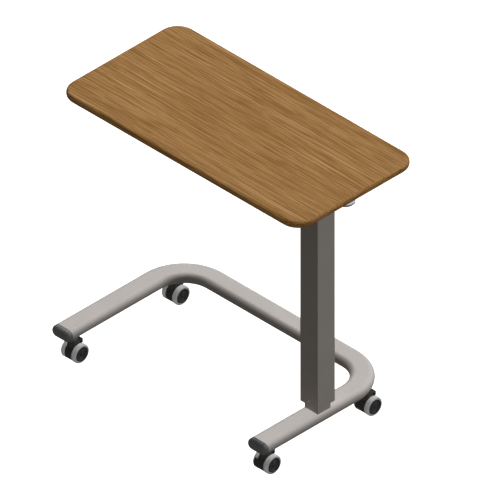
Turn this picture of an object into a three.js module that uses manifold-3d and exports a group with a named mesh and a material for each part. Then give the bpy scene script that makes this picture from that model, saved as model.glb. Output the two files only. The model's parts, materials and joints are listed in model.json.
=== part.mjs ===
// Overbed table: an oak-faced top on a telescoping column that stands on one leg of a
// U-shaped, castored base tube. Millimetres, +Z up, +X along the long side of the top.
// The dimensions below are taken from the column's axis (x = 0, y = 0) and from the floor
// (z = 0); the finished group is moved so that the origin is the middle of its footprint.
import * as THREE from 'three';
import { mergeVertices } from 'three/addons/utils/BufferGeometryUtils.js';
import Module from 'manifold-3d';

const wasm = await Module();
wasm.setup();

// ---- driving dimensions ----
const GAP = 0.3;                    // clearance between neighbouring solids
const EPS = 1;                      // overlap that makes a cut run clean through
const TUBE_ARCS = 2;                // fineness of the base tube's round sides
const CORNER_ARCS = 1;              // fineness of small rounded corners
const BIG_ARCS = 4;                 // fineness of large plan curves
const ROUND = 16;                   // sides of a small round piece
const WHEEL_ROUND = 20;             // sides of a wheel

const TUBE_WIDTH = 60;              // flat-oval base tube
const TUBE_HEIGHT = 30;
const TUBE_WALL = 2;
const TUBE_Z = 88.5;                // centre line of the base tube above the floor
const LEG_SPACING = 650;            // centre line to centre line of the two legs
const CROSS_Y = 207;                // centre line of the cross tube
const LEG_END_Y = -191.5;           // cut ends of the two legs
const BEND_RADIUS = 100;            // centre line of the bends

const CAP_LENGTH = 15;              // end cap beyond the tube's cut end
const CAP_EDGE = 9;                 // rounding of the end cap's outer edge
const PLUG_LENGTH = 26;

const WHEEL_RADIUS = 25;
const HUB_RADIUS = 19.8;
const WHEEL_INNER = 12;             // wheel's inner side from the castor's middle plane
const WHEEL_OUTER = 24.2;
const AXLE_RADIUS = 3;
const CASTOR_INSET = 6;             // castor's middle plane inside the leg's centre line
const CASTOR_TRAIL = 13;            // axle behind the swivel axis
const FRONT_AXLE_Y = -161.8;
const REAR_AXLE_Y = 173.2;
const FORK_HALF = 10.8;             // half width of the castor's body
const FORK_RADIUS = 24.4;
const FORK_TOP = 62.1;
const BOSS_RADIUS = 9;              // swivel boss round the stem
const GUARD_WALL = 1.2;
const GUARD_START = Math.PI - 0.55; // guard in front of an inner wheel, round the axle
const GUARD_END = Math.PI + 0.28;
const STEM_RADIUS = 5.5;
const STEM_TOP = 96;
const STEM_BOTTOM = 46;
const COLLAR_RADIUS = 10;
const SOCKET_RADIUS = 14;
const SOCKET_BOTTOM = 64.3;
const SPIGOT_RADIUS = 9;
const PEDAL_Y = 8.5;                // pedal's pivot, from the castor's axle
const PEDAL_Z = 52;
const PEDAL_BARREL = 3;
const PEDAL_HALF = 7.5;
const PEDAL_REACH = 11.3;           // foot tab beyond its pivot
const PEDAL_WALL = 4;
const PEDAL_SKIRT = 9.5;            // foot tab's skirt below its pivot

const INNER_SIDE = 44;              // square inner column
const INNER_WALL = 2.5;
const INNER_TOP = 690;
const SLEEVE_SIDE = 58;             // square outer sleeve that slides over it
const SLEEVE_WALL = 3;
const SLEEVE_BOTTOM = 122;
const SLEEVE_TOP = 738;
const GLIDE_SCREW_Z = SLEEVE_BOTTOM + 12;
const GLIDE_HEIGHT = 34;            // plastic glides between the two columns
const GLIDE_SIDE = SLEEVE_SIDE - 2 * SLEEVE_WALL - 2 * GAP;
const GLIDE_WALL = (GLIDE_SIDE - INNER_SIDE) / 2 - GAP;
const LIP_HEIGHT = 3;

const SPRING_BOTTOM = 325;          // gas spring inside the column
const SPRING_TOP = 705;
const SPRING_RADIUS = 14;
const SPRING_BORE = 11.5;
const ROD_RADIUS = 5;
const ROD_BOTTOM = 342;
const ROD_TOP = 746;
const PIN_RADIUS = 3;
const PIN_TOP = 750;

const TOP_LENGTH = 800;
const TOP_WIDTH = 400;
const TOP_THICKNESS = 19;
const TOP_EDGE = 8;                 // rounding of the top's edge
const TOP_CORNER = 50;              // plan radius of the top's corners
const TOP_Z = 766.5;                // underside of the top
const TOP_OVERHANG = 135.5;         // top's right end beyond the column's axis

const HEAD_Z = 738.3;               // plate on the sleeve that carries the top's frame
const HEAD_THICKNESS = 4;
const RAIL_Y = 50;
const RAIL_WIDTH = 25;
const RAIL_LEFT = -560;
const RAIL_RIGHT = 52;
const RAIL_WALL = 2;
const BRACE_X = -530;
const BRACE_SIDE = 20;
const SCREW_XS = [-500, -90];       // screws up through the rails into the top
const SCREW_RADIUS = 2.3;
const SCREW_DEPTH = 11;

const LEVER_X = 36;                 // release lever's pivot
const LEVER_Z = 754;
const LEVER_WIDTH = 16;
const LEVER_THICKNESS = 3;
const LEVER_PIN_RADIUS = 2.5;
const CHEEK_INSIDE = LEVER_WIDTH / 2 + GAP;
const CHEEK_OUTSIDE = CHEEK_INSIDE + 3;
const PADDLE_TIP = 116;
const PADDLE_RADIUS = 24.5;
const PADDLE_Z = 739.5;
const PADDLE_THICKNESS = 6;

const TUBE_TOP = TUBE_Z + TUBE_HEIGHT / 2;
const TUBE_BOTTOM = TUBE_Z - TUBE_HEIGHT / 2;
const RAIL_BOTTOM = HEAD_Z + HEAD_THICKNESS + GAP;
const RAIL_HEIGHT = TOP_Z - GAP - RAIL_BOTTOM;

// Middle of the footprint, measured from the column's axis.
const MIDDLE_X = (TOP_OVERHANG - LEG_SPACING - TUBE_WIDTH / 2) / 2;
const MIDDLE_Y = (CROSS_Y + TUBE_WIDTH / 2 + LEG_END_Y - GAP - CAP_LENGTH) / 2;

// ---- materials ----
function material(color, roughness, metalness) {
  return new THREE.MeshStandardMaterial({ color, roughness, metalness });
}
const OAK = material(0x9c7448, 0.45, 0);
const BASE_PAINT = material(0xaeaaa6, 0.5, 0);
const COLUMN_PAINT = material(0xaeaaa6, 0.5, 0);
const CAP_PLASTIC = material(0x5f5f5f, 0.5, 0);
const BLACK_PLASTIC = material(0x363637, 0.5, 0);
const TREAD_RUBBER = material(0xbcbcba, 0.7, 0);
const LEVER_PLASTIC = material(0xb4b4ba, 0.45, 0);
const FRAME_PAINT = material(0x969290, 0.6, 0);
const STEEL = material(0xb8bcc0, 0.3, 0.9);

// ---- solids: joining and cutting ----
function toSolid(geometry) {
  const bare = geometry.clone();
  bare.deleteAttribute('normal');
  bare.deleteAttribute('uv');
  const merged = mergeVertices(bare, 1e-4);
  return new wasm.Manifold(new wasm.Mesh({
    numProp: 3,
    vertProperties: new Float32Array(merged.attributes.position.array),
    triVerts: new Uint32Array(merged.index.array),
  }));
}

function toGeometry(solid) {
  const mesh = solid.getMesh();
  const geometry = new THREE.BufferGeometry();
  geometry.setAttribute('position', new THREE.BufferAttribute(mesh.vertProperties, 3));
  geometry.setIndex(new THREE.BufferAttribute(mesh.triVerts, 1));
  geometry.computeVertexNormals();
  return geometry;
}

function join(...geometries) {
  return toGeometry(geometries.map(toSolid).reduce((sum, next) => sum.add(next)));
}

function cut(geometry, ...tools) {
  const whole = toSolid(geometry);
  return toGeometry(tools.map(toSolid).reduce((rest, tool) => rest.subtract(tool), whole));
}

// ---- basic shapes ----
function block(x0, x1, y0, y1, z0, z1) {
  const box = new THREE.BoxGeometry(x1 - x0, y1 - y0, z1 - z0);
  return box.translate((x0 + x1) / 2, (y0 + y1) / 2, (z0 + z1) / 2);
}

function roundBar(radius, z0, z1, x = 0, y = 0, segments = ROUND) {
  const bar = new THREE.CylinderGeometry(radius, radius, z1 - z0, segments);
  return bar.rotateX(Math.PI / 2).translate(x, y, (z0 + z1) / 2);
}

// A round bar along X, centred on the given height and depth.
function crossBar(radius, x0, x1, y, z, segments = ROUND) {
  const bar = new THREE.CylinderGeometry(radius, radius, x1 - x0, segments);
  return bar.rotateZ(Math.PI / 2).translate((x0 + x1) / 2, y, z);
}

function roundedRect(width, height, radius, Kind = THREE.Shape) {
  const outline = new Kind();
  const x = width / 2;
  const y = height / 2;
  outline.absarc(x - radius, y - radius, radius, 0, Math.PI / 2);
  outline.absarc(radius - x, y - radius, radius, Math.PI / 2, Math.PI);
  outline.absarc(radius - x, radius - y, radius, Math.PI, 1.5 * Math.PI);
  outline.absarc(x - radius, radius - y, radius, 1.5 * Math.PI, 2 * Math.PI);
  outline.closePath();
  return outline;
}

function ringShape(width, height, radius, wall) {
  const shape = roundedRect(width, height, radius);
  const innerRadius = Math.max(radius - wall, 0.5);
  shape.holes.push(roundedRect(width - 2 * wall, height - 2 * wall, innerRadius, THREE.Path));
  return shape;
}

function prism(shape, z0, z1, curveSegments = CORNER_ARCS) {
  const options = { depth: z1 - z0, bevelEnabled: false, curveSegments };
  return new THREE.ExtrudeGeometry(shape, options).translate(0, 0, z0);
}

// Extrudes an outline drawn in (y, z) along X, from x0 to x1.
function sideProfile(shape, x0, x1, curveSegments = CORNER_ARCS) {
  const options = { depth: x1 - x0, bevelEnabled: false, curveSegments };
  const solid = new THREE.ExtrudeGeometry(shape, options);
  return solid.rotateX(Math.PI / 2).rotateZ(Math.PI / 2).translate(x0, 0, 0);
}

// Turns a profile of [radius, x] points about the X axis.
function wheelProfile(points, segments) {
  const profile = points.map(([radius, along]) => new THREE.Vector2(radius, along));
  return new THREE.LatheGeometry(profile, segments).rotateZ(-Math.PI / 2);
}

function turned(points, segments = ROUND) {
  const profile = points.map(([radius, z]) => new THREE.Vector2(radius, z));
  return new THREE.LatheGeometry(profile, segments).rotateX(Math.PI / 2);
}

function piece(name, geometry, look) {
  const mesh = new THREE.Mesh(geometry, look);
  mesh.name = name;
  return mesh;
}

// ---- base ----
// Stations along the U: the plan position and heading of the tube's centre line.
function baseStations() {
  const left = -LEG_SPACING;
  const bendY = CROSS_Y - BEND_RADIUS;
  const bendSteps = 8;
  const stations = [{ x: left, y: LEG_END_Y, heading: Math.PI / 2 }];
  for (const [centreX, start] of [[left + BEND_RADIUS, Math.PI], [-BEND_RADIUS, Math.PI / 2]]) {
    for (let step = 0; step <= bendSteps; step += 1) {
      const angle = start - (Math.PI / 2) * (step / bendSteps);
      const x = centreX + BEND_RADIUS * Math.cos(angle);
      const y = bendY + BEND_RADIUS * Math.sin(angle);
      stations.push({ x, y, heading: angle - Math.PI / 2 });
    }
  }
  stations.push({ x: 0, y: LEG_END_Y, heading: -Math.PI / 2 });
  return stations;
}

// Bends a straight extrusion (section in x and y, length 0 to 1 in z) along the stations.
function bendAlong(geometry, stations) {
  const position = geometry.attributes.position;
  for (let index = 0; index < position.count; index += 1) {
    const station = stations[Math.round(position.getZ(index) * (stations.length - 1))];
    const side = position.getX(index);
    const x = station.x - side * Math.sin(station.heading);
    const y = station.y + side * Math.cos(station.heading);
    position.setXYZ(index, x, y, TUBE_Z + position.getY(index));
  }
  return geometry;
}

function tubeSection(inset) {
  const height = TUBE_HEIGHT - 2 * inset;
  return roundedRect(TUBE_WIDTH - 2 * inset, height, height / 2 - 0.01);
}

function castorPlaces() {
  const places = [];
  for (const [side, x] of [['left', CASTOR_INSET - LEG_SPACING], ['right', -CASTOR_INSET]]) {
    for (const [end, axleY] of [['front', FRONT_AXLE_Y], ['rear', REAR_AXLE_Y]]) {
      const stemY = axleY - CASTOR_TRAIL;
      places.push({ tag: `${side}_${end}`, side, end, x, axleY, stemY });
    }
  }
  return places;
}

function baseTube() {
  const stations = baseStations();
  const steps = stations.length - 1;
  const options = { depth: 1, steps, bevelEnabled: false, curveSegments: TUBE_ARCS };
  const skin = bendAlong(new THREE.ExtrudeGeometry(tubeSection(0), options), stations);
  const bore = bendAlong(new THREE.ExtrudeGeometry(tubeSection(TUBE_WALL), options), stations);
  const tools = [bore];
  const slack = 0.5;
  const slotTop = TUBE_BOTTOM + 7;
  for (const { end, x, stemY } of castorPlaces()) {
    const radius = slack + (end === 'front' ? SOCKET_RADIUS : SPIGOT_RADIUS);
    tools.push(roundBar(radius, TUBE_BOTTOM - EPS, TUBE_Z, x, stemY));
    if (end === 'front') {
      const mouth = LEG_END_Y - EPS;
      tools.push(block(x - radius, x + radius, mouth, stemY, TUBE_BOTTOM - EPS, slotTop));
    }
  }
  return piece('base_tube', cut(skin, ...tools), BASE_PAINT);
}

// End cap: a domed stadium, a plug inside the tube and a boss that takes the castor's stem.
function endCap({ side, x, stemY }) {
  const legX = side === 'left' ? -LEG_SPACING : 0;
  const back = LEG_END_Y - GAP;
  const dome = new THREE.ExtrudeGeometry(tubeSection(CAP_EDGE), {
    depth: CAP_LENGTH - CAP_EDGE,
    bevelThickness: CAP_EDGE,
    bevelSize: CAP_EDGE,
    bevelSegments: 3,
    curveSegments: TUBE_ARCS,
  });
  dome.rotateX(Math.PI / 2).translate(legX, back, TUBE_Z);
  const behind = block(legX - TUBE_WIDTH, legX + TUBE_WIDTH, back, 0, 0, TUBE_TOP + EPS);
  const plug = prism(tubeSection(TUBE_WALL + GAP), 0, PLUG_LENGTH + EPS, TUBE_ARCS);
  plug.rotateX(Math.PI / 2).translate(legX, LEG_END_Y + PLUG_LENGTH, TUBE_Z);
  const boss = roundBar(SOCKET_RADIUS, SOCKET_BOTTOM, TUBE_Z, x, stemY);
  const bore = roundBar(STEM_RADIUS + GAP, SOCKET_BOTTOM - EPS, STEM_TOP + GAP, x, stemY);
  const body = join(cut(dome, behind), plug, boss);
  return piece(`end_cap_${side}`, cut(body, bore), CAP_PLASTIC);
}

// Rear socket: a flange under the tube and a spigot through its lower wall.
function rearSocket({ side, x, stemY }) {
  const bore = STEM_RADIUS + GAP;
  const seat = TUBE_BOTTOM - GAP;
  const top = TUBE_TOP - TUBE_WALL - 2;
  const profile = [
    [bore, SOCKET_BOTTOM], [SOCKET_RADIUS, SOCKET_BOTTOM], [SOCKET_RADIUS, seat],
    [SPIGOT_RADIUS, seat], [SPIGOT_RADIUS, top], [bore, top], [bore, SOCKET_BOTTOM],
  ];
  return piece(`rear_socket_${side}`, turned(profile).translate(x, stemY, 0), BLACK_PLASTIC);
}

function innerColumn() {
  const tube = prism(ringShape(INNER_SIDE, INNER_SIDE, 2, INNER_WALL), TUBE_Z, INNER_TOP);
  const saddle = prism(tubeSection(-GAP), -INNER_SIDE, INNER_SIDE, TUBE_ARCS).rotateX(Math.PI / 2);
  return piece('inner_column', cut(tube, saddle.translate(0, 0, TUBE_Z)), COLUMN_PAINT);
}

function glideRing(wall) {
  return ringShape(GLIDE_SIDE, GLIDE_SIDE, 1.5, wall);
}

// Plastic glide fixed round the top of the inner column, with a lip over its end.
function innerGlide() {
  const seat = INNER_TOP + GAP;
  const lipWall = GLIDE_WALL + INNER_WALL + GAP;
  const collar = prism(glideRing(GLIDE_WALL), INNER_TOP - GLIDE_HEIGHT, seat + LIP_HEIGHT);
  const lip = prism(glideRing(lipWall), seat, seat + LIP_HEIGHT);
  return piece('inner_column_glide', join(collar, lip), BLACK_PLASTIC);
}

function springPost() {
  const foot = TUBE_TOP + GAP;
  const top = SPRING_BOTTOM - GAP;
  const outer = SPRING_RADIUS - 2;
  const inner = outer - 5;
  const profile = [[inner, foot], [outer, foot], [outer, top], [inner, top], [inner, foot]];
  return piece('gas_spring_post', turned(profile), STEEL);
}

function springCylinder() {
  const throat = ROD_RADIUS + GAP;
  const boreTop = SPRING_TOP - 10;
  const boreFloor = SPRING_BOTTOM + 8;
  const profile = [
    [0, SPRING_BOTTOM], [SPRING_RADIUS, SPRING_BOTTOM], [SPRING_RADIUS, SPRING_TOP],
    [throat, SPRING_TOP], [throat, boreTop], [SPRING_BORE, boreTop], [SPRING_BORE, boreFloor],
    [0, boreFloor],
  ];
  return piece('gas_spring_cylinder', turned(profile), BLACK_PLASTIC);
}

// ---- lifting part ----
function sleeve() {
  const section = ringShape(SLEEVE_SIDE, SLEEVE_SIDE, 1.2, SLEEVE_WALL);
  const tube = prism(section, SLEEVE_BOTTOM, SLEEVE_TOP);
  const hole = roundBar(2.6, -EPS, SLEEVE_WALL + EPS, 0, 0, 12).rotateX(Math.PI / 2);
  hole.translate(0, -SLEEVE_SIDE / 2 + SLEEVE_WALL, GLIDE_SCREW_Z);
  return piece('column_sleeve', cut(tube, hole), COLUMN_PAINT);
}

function sleeveGlide() {
  const collar = prism(glideRing(GLIDE_WALL), SLEEVE_BOTTOM, SLEEVE_BOTTOM + GLIDE_HEIGHT);
  return piece('sleeve_glide', collar, BLACK_PLASTIC);
}

// Button-head screw that holds the glide at the foot of the sleeve.
function glideScrew() {
  const outside = SLEEVE_SIDE / 2 + GAP;
  const shank = 2.2;
  const profile = [
    [0, -1.8], [2.5, -1.4], [3.6, 0], [shank, 0], [shank, SLEEVE_WALL], [0, SLEEVE_WALL],
  ];
  const screw = turned(profile).rotateX(-Math.PI / 2);
  return piece('glide_screw', screw.translate(0, -outside, GLIDE_SCREW_Z), STEEL);
}

function headPlate() {
  const length = SLEEVE_SIDE + 24;
  const top = HEAD_Z + HEAD_THICKNESS;
  const plate = prism(roundedRect(length, 2 * RAIL_Y + RAIL_WIDTH, 6), HEAD_Z, top);
  const rodHole = roundBar(ROD_RADIUS + GAP, HEAD_Z - EPS, top + EPS);
  plate.translate(length / 2 - SLEEVE_SIDE / 2 - 2, 0, 0);
  return piece('head_plate', cut(plate, rodHole), FRAME_PAINT);
}

function springRod() {
  const piston = SPRING_BORE - GAP;
  const pistonTop = ROD_BOTTOM + 14;
  const bore = PIN_RADIUS + GAP;
  const boreFloor = ROD_TOP - 20;
  const profile = [
    [0, ROD_BOTTOM], [piston, ROD_BOTTOM], [piston, pistonTop], [ROD_RADIUS, pistonTop],
    [ROD_RADIUS, ROD_TOP], [bore, ROD_TOP], [bore, boreFloor], [0, boreFloor],
  ];
  return piece('gas_spring_rod', turned(profile), STEEL);
}

function releasePin() {
  const foot = ROD_TOP - 14;
  const profile = [
    [0, foot], [PIN_RADIUS, foot], [PIN_RADIUS, PIN_TOP - 1], [PIN_RADIUS - 1, PIN_TOP], [0, PIN_TOP],
  ];
  return piece('release_pin', turned(profile), STEEL);
}

function supportRail(name, y) {
  const section = ringShape(RAIL_WIDTH, RAIL_HEIGHT, 2, RAIL_WALL);
  const middle = RAIL_BOTTOM + RAIL_HEIGHT / 2;
  const rail = sideProfile(section, RAIL_LEFT, RAIL_RIGHT).translate(0, y, middle);
  const holeRadius = SCREW_RADIUS + 0.5;
  const holes = SCREW_XS.map((x) => roundBar(holeRadius, RAIL_BOTTOM - EPS, TOP_Z, x, y, 12));
  return piece(name, cut(rail, ...holes), FRAME_PAINT);
}

function crossBrace() {
  const reach = RAIL_Y - RAIL_WIDTH / 2 - GAP;
  const section = ringShape(BRACE_SIDE, BRACE_SIDE, 2, RAIL_WALL);
  const brace = sideProfile(section, -reach, reach).rotateZ(Math.PI / 2);
  const middle = RAIL_BOTTOM + BRACE_SIDE / 2 + 1;
  return piece('cross_brace', brace.translate(BRACE_X, 0, middle), FRAME_PAINT);
}

// Pan-head screws run up through the rails into the underside of the top.
function topScrews() {
  const seat = RAIL_BOTTOM - GAP;
  const tip = TOP_Z + SCREW_DEPTH;
  const head = 2 * SCREW_RADIUS;
  const profile = [
    [0, seat - 3], [head - 1.6, seat - 3], [head, seat - 1], [head, seat], [SCREW_RADIUS, seat],
    [SCREW_RADIUS, tip], [0, tip],
  ];
  const screws = [];
  for (const [side, y] of [['front', -RAIL_Y], ['rear', RAIL_Y]]) {
    SCREW_XS.forEach((x, index) => {
      const screw = turned(profile).translate(x, y, 0);
      screws.push(piece(`top_screw_${side}_${index + 1}`, screw, STEEL));
    });
  }
  return screws;
}

function tabletop() {
  const length = TOP_LENGTH - 2 * TOP_EDGE;
  const width = TOP_WIDTH - 2 * TOP_EDGE;
  const outline = roundedRect(length, width, TOP_CORNER - TOP_EDGE);
  const board = new THREE.ExtrudeGeometry(outline, {
    depth: TOP_THICKNESS - 2 * TOP_EDGE,
    bevelThickness: TOP_EDGE,
    bevelSize: TOP_EDGE,
    bevelSegments: 4,
    curveSegments: BIG_ARCS,
  });
  board.translate(TOP_OVERHANG - TOP_LENGTH / 2, 0, TOP_Z + TOP_EDGE);
  const holes = [];
  const holeTop = TOP_Z + SCREW_DEPTH + 1;
  for (const y of [-RAIL_Y, RAIL_Y]) {
    const row = SCREW_XS.map((x) => roundBar(SCREW_RADIUS + GAP, TOP_Z - EPS, holeTop, x, y, 12));
    holes.push(...row);
  }
  return piece('tabletop', cut(board, ...holes), OAK);
}

// ---- release lever ----
// A bar along Y through the lever's pivot, reaching as far to each side.
function pivotBar(radius, reach) {
  const pivot = crossBar(radius, -reach, reach, 0, 0).rotateZ(Math.PI / 2);
  return pivot.translate(LEVER_X, 0, LEVER_Z);
}

// U-shaped bracket with a cheek on each side of the lever.
function leverBracket() {
  const half = 8;
  const left = LEVER_X - half;
  const right = LEVER_X + half;
  const top = LEVER_Z + 7;
  const web = 2;
  const bracket = block(left, right, -CHEEK_OUTSIDE, CHEEK_OUTSIDE, RAIL_BOTTOM, top);
  const mouth = [-CHEEK_INSIDE, CHEEK_INSIDE, RAIL_BOTTOM + web, top + EPS];
  const slot = block(left - EPS, right + EPS, ...mouth);
  const pinHole = pivotBar(LEVER_PIN_RADIUS + GAP, CHEEK_OUTSIDE + EPS);
  return piece('lever_bracket', cut(bracket, slot, pinHole), FRAME_PAINT);
}

function leverPin() {
  return piece('lever_pivot_pin', pivotBar(LEVER_PIN_RADIUS, CHEEK_OUTSIDE + 2), STEEL);
}

// Cranked steel arm: a nose over the release pin, a pivot eye and a tail on the paddle.
function leverArm() {
  const half = LEVER_WIDTH / 2;
  const tailZ = PADDLE_Z + PADDLE_THICKNESS + GAP;
  const tailEnd = PADDLE_TIP - PADDLE_RADIUS - 8;
  const noseRadius = 3;
  const noseZ = PIN_TOP + GAP + noseRadius;
  const outline = new THREE.Shape();
  outline.moveTo(0, noseZ);
  outline.lineTo(LEVER_X - 6, LEVER_Z - 4);
  outline.lineTo(LEVER_X + 10, LEVER_Z - 5);
  outline.lineTo(LEVER_X + 20, tailZ);
  outline.lineTo(tailEnd, tailZ);
  outline.lineTo(tailEnd, tailZ + LEVER_THICKNESS);
  outline.lineTo(LEVER_X + 21, tailZ + LEVER_THICKNESS);
  outline.lineTo(LEVER_X + 12, LEVER_Z + 3);
  outline.lineTo(LEVER_X, LEVER_Z + 5);
  outline.lineTo(0, noseZ + LEVER_THICKNESS);
  outline.closePath();
  const arm = prism(outline, -half, half).rotateX(Math.PI / 2);
  const nose = roundBar(noseRadius, -half, half).rotateX(Math.PI / 2).translate(0, 0, noseZ);
  const eye = pivotBar(LEVER_PIN_RADIUS + GAP, LEVER_WIDTH);
  return piece('release_lever', cut(join(arm, nose), eye), STEEL);
}

function leverPaddle() {
  const edge = 1.6;
  const inner = PADDLE_RADIUS - edge;
  const centre = PADDLE_TIP - PADDLE_RADIUS;
  const root = LEVER_X + 32;
  const rootHalf = inner - 6;
  const outline = new THREE.Shape();
  outline.absarc(centre, 0, inner, -Math.PI / 2, Math.PI / 2);
  outline.lineTo(root, rootHalf);
  outline.lineTo(root, -rootHalf);
  outline.closePath();
  const paddle = new THREE.ExtrudeGeometry(outline, {
    depth: PADDLE_THICKNESS - 2 * edge,
    bevelThickness: edge,
    bevelSize: edge,
    bevelSegments: 2,
    curveSegments: BIG_ARCS,
  });
  return piece('lever_paddle', paddle.translate(0, 0, PADDLE_Z + edge), LEVER_PLASTIC);
}

// ---- castors ----
// Body between the wheels, drawn in (y, z) from the axle: a round shroud with a swivel boss.
function castorBody({ tag, side, x, axleY }) {
  const shroud = crossBar(FORK_RADIUS, -FORK_HALF, FORK_HALF, 0, WHEEL_RADIUS, WHEEL_ROUND);
  const foot = WHEEL_RADIUS + 6;
  const web = new THREE.Shape();
  web.moveTo(-CASTOR_TRAIL, foot);
  web.lineTo(PEDAL_Y + 3.5, foot);
  web.lineTo(PEDAL_Y + 3.5, PEDAL_Z - 4);
  web.lineTo(PEDAL_Y + 2, PEDAL_Z + 4);
  web.lineTo(PEDAL_Y - 6, PEDAL_Z + 6);
  web.lineTo(-CASTOR_TRAIL, FORK_TOP);
  web.closePath();
  const boss = roundBar(BOSS_RADIUS, STEM_BOTTOM - 3, FORK_TOP, 0, -CASTOR_TRAIL);
  const parts = [shroud, sideProfile(web, -FORK_HALF, FORK_HALF), boss];
  if (side === 'right') {
    parts.push(...wheelGuard());
  }
  const past = FORK_HALF + EPS;
  const stemBore = roundBar(STEM_RADIUS + GAP, STEM_BOTTOM - GAP, FORK_TOP + EPS, 0, -CASTOR_TRAIL);
  const axleBore = crossBar(AXLE_RADIUS + GAP, -past, past, 0, WHEEL_RADIUS);
  const hinge = crossBar(PEDAL_BARREL + GAP, -past, past, PEDAL_Y, PEDAL_Z);
  const behind = PEDAL_Y + 20;
  const skirtY = PEDAL_Y + PEDAL_REACH - PEDAL_WALL - 1.5;
  const skirtZ = PEDAL_Z - PEDAL_SKIRT - 1.6;
  const tabSweep = block(-past, past, PEDAL_Y, behind, PEDAL_Z - 5, PEDAL_Z + 12);
  const skirtSweep = block(-past, past, skirtY, behind, skirtZ, PEDAL_Z + 12);
  const body = cut(join(...parts), stemBore, axleBore, hinge, tabSweep, skirtSweep);
  return piece(`castor_body_${tag}`, body.translate(x, axleY, 0), BLACK_PLASTIC);
}

// Guard in front of the inner wheel of the two castors that stand under the column's leg.
function wheelGuard() {
  const arc = (inner, outer) => {
    const shape = new THREE.Shape();
    shape.absarc(0, WHEEL_RADIUS, outer, GUARD_START, GUARD_END);
    shape.absarc(0, WHEEL_RADIUS, inner, GUARD_END, GUARD_START, true);
    shape.closePath();
    return shape;
  };
  const clear = WHEEL_RADIUS + 0.5;
  const outside = clear + GUARD_WALL;
  return [
    sideProfile(arc(clear, outside), 6 - WHEEL_OUTER, 0, BIG_ARCS),
    sideProfile(arc(FORK_RADIUS - 3, outside), -FORK_HALF, FORK_HALF, BIG_ARCS),
  ];
}

function castorStem({ tag, x, stemY }) {
  const collar = FORK_TOP + GAP;
  const seat = SOCKET_BOTTOM - GAP;
  const profile = [
    [0, STEM_BOTTOM], [STEM_RADIUS, STEM_BOTTOM], [STEM_RADIUS, collar], [COLLAR_RADIUS, collar],
    [COLLAR_RADIUS, seat], [STEM_RADIUS, seat], [STEM_RADIUS, STEM_TOP], [0, STEM_TOP],
  ];
  return piece(`castor_stem_${tag}`, turned(profile).translate(x, stemY, 0), STEEL);
}

function castorAxle({ tag, x, axleY }) {
  const half = WHEEL_OUTER - 3;
  const axle = crossBar(AXLE_RADIUS, x - half, x + half, axleY, WHEEL_RADIUS);
  return piece(`castor_axle_${tag}`, axle, STEEL);
}

// Foot tab on a hinge barrel, with a deep skirt at its tip.
function brakePedal({ tag, x, axleY }) {
  const top = PEDAL_BARREL;
  const tab = new THREE.Shape();
  tab.moveTo(0, top - PEDAL_WALL - 1);
  tab.lineTo(PEDAL_REACH - PEDAL_WALL, top - PEDAL_WALL - 1);
  tab.lineTo(PEDAL_REACH - PEDAL_WALL, -PEDAL_SKIRT);
  tab.lineTo(PEDAL_REACH, -PEDAL_SKIRT);
  tab.absarc(PEDAL_REACH - 2, top - 2, 2, 0, Math.PI / 2);
  tab.lineTo(0, top);
  tab.closePath();
  const barrel = crossBar(PEDAL_BARREL, -PEDAL_HALF, PEDAL_HALF, 0, 0);
  const pedal = join(barrel, sideProfile(tab, -PEDAL_HALF, PEDAL_HALF));
  return piece(`brake_pedal_${tag}`, pedal.translate(x, axleY + PEDAL_Y, PEDAL_Z), BLACK_PLASTIC);
}

function wheelTyre(name, x, axleY, facing) {
  const seat = HUB_RADIUS + GAP / 2;
  const profile = [
    [seat, WHEEL_INNER], [WHEEL_RADIUS - 1.2, WHEEL_INNER], [WHEEL_RADIUS, WHEEL_INNER + 1.2],
    [WHEEL_RADIUS, WHEEL_OUTER - 4.2], [WHEEL_RADIUS - 0.6, WHEEL_OUTER - 2.3],
    [WHEEL_RADIUS - 2.2, WHEEL_OUTER - 0.6], [seat + 0.6, WHEEL_OUTER], [seat, WHEEL_OUTER],
    [seat, WHEEL_INNER],
  ];
  const tyre = wheelProfile(profile, WHEEL_ROUND);
  return piece(name, placeWheel(tyre, x, axleY, facing), TREAD_RUBBER);
}

function wheelHub(name, x, axleY, facing) {
  const rim = HUB_RADIUS - GAP / 2;
  const face = WHEEL_OUTER + 0.8;
  const bore = AXLE_RADIUS + GAP;
  const boreEnd = WHEEL_OUTER - 2.5;
  const profile = [
    [0, boreEnd], [bore, boreEnd], [bore, WHEEL_INNER], [rim, WHEEL_INNER], [rim, WHEEL_OUTER - 0.4],
    [rim - 1.5, face - 0.2], [0, face],
  ];
  const hub = wheelProfile(profile, WHEEL_ROUND);
  return piece(name, placeWheel(hub, x, axleY, facing), BLACK_PLASTIC);
}

function placeWheel(geometry, x, axleY, facing) {
  const turn = facing > 0 ? 0 : Math.PI;
  return geometry.rotateZ(turn).translate(x, axleY, WHEEL_RADIUS);
}

function castor(place) {
  const pieces = [castorBody(place), castorStem(place), castorAxle(place), brakePedal(place)];
  for (const [half, facing] of [['inner', -1], ['outer', 1]]) {
    const label = `${place.tag}_${half}`;
    pieces.push(wheelTyre(`wheel_tyre_${label}`, place.x, place.axleY, facing));
    pieces.push(wheelHub(`wheel_hub_${label}`, place.x, place.axleY, facing));
  }
  return pieces;
}

// ---- assembly ----
function assemble() {
  const places = castorPlaces();
  const table = new THREE.Group();
  table.add(baseTube(), innerColumn(), innerGlide(), springPost(), springCylinder());
  places.forEach((place) => table.add(place.end === 'front' ? endCap(place) : rearSocket(place)));
  table.add(sleeve(), sleeveGlide(), glideScrew(), headPlate(), springRod(), releasePin());
  table.add(supportRail('support_rail_front', -RAIL_Y), supportRail('support_rail_rear', RAIL_Y));
  table.add(crossBrace(), tabletop(), ...topScrews());
  table.add(leverBracket(), leverPin(), leverArm(), leverPaddle());
  places.forEach((place) => table.add(...castor(place)));
  table.position.set(-MIDDLE_X, -MIDDLE_Y, 0);
  return table;
}

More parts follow.
